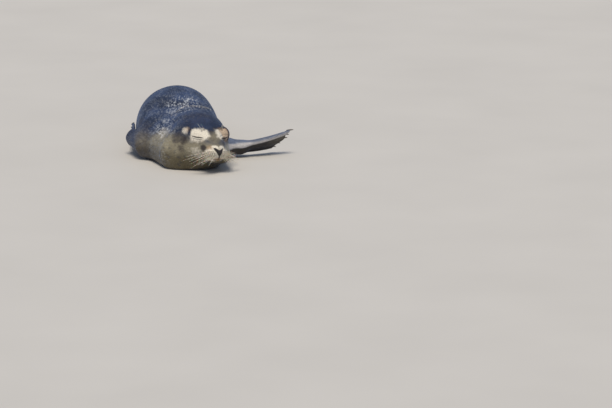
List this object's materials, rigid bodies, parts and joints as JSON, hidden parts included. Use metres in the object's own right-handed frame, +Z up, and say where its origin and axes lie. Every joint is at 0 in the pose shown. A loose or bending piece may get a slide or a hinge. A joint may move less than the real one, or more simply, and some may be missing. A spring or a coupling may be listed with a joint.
{
  "type": "harbor seal",
  "caption": "Life-size still model of a young harbor seal asleep on its belly, its head turned to its left, the left fore flipper held out and the right folded back on the flank.",
  "frame": {"origin": "on the floor under the middle of the belly, at the centre of the flat the belly rests on", "axes": "+Y from the nose to the tail along the body, +X to the seal's own left, +Z up"},
  "size_m": [0.5398, 1.0656, 0.1921],
  "materials": {
    "coat_face": "short dense fur, cream round the eyes and whitish on the muzzle",
    "coat_neck": "short dense fur, grey over olive beige with pale rings",
    "coat_back": "short dense fur, slate blue grey with paler rings and spots, sleek",
    "coat_flipper": "very short fur over webbed digits",
    "eyelid": "closed furred lids with a dark moist slit",
    "nose_skin": "bare moist skin, satin",
    "claw": "smooth dark horn"
  },
  "bodies": {
    "root": {"head": "coat_face", "lower_jaw": "coat_face", "eye_left": "eyelid", "eye_right": "eyelid", "nose": "nose_skin", "neck": "coat_neck", "shoulders": "coat_back", "belly": "coat_back", "hips": "coat_back", "tail": "coat_back", "fore_flipper_left": "coat_flipper", "fore_flipper_right": "coat_flipper", "hind_flipper_left": "coat_flipper", "hind_flipper_right": "coat_flipper", "fore_claw_left_1": "claw", "fore_claw_left_2": "claw", "fore_claw_left_3": "claw", "fore_claw_left_4": "claw", "fore_claw_left_5": "claw", "fore_claw_right_1": "claw", "fore_claw_right_2": "claw", "fore_claw_right_3": "claw", "fore_claw_right_4": "claw", "fore_claw_right_5": "claw", "hind_claw_left_1": "claw", "hind_claw_left_2": "claw", "hind_claw_left_3": "claw", "hind_claw_left_4": "claw", "hind_claw_left_5": "claw", "hind_claw_right_1": "claw", "hind_claw_right_2": "claw", "hind_claw_right_3": "claw", "hind_claw_right_4": "claw", "hind_claw_right_5": "claw"}
  },
  "joints": []
}
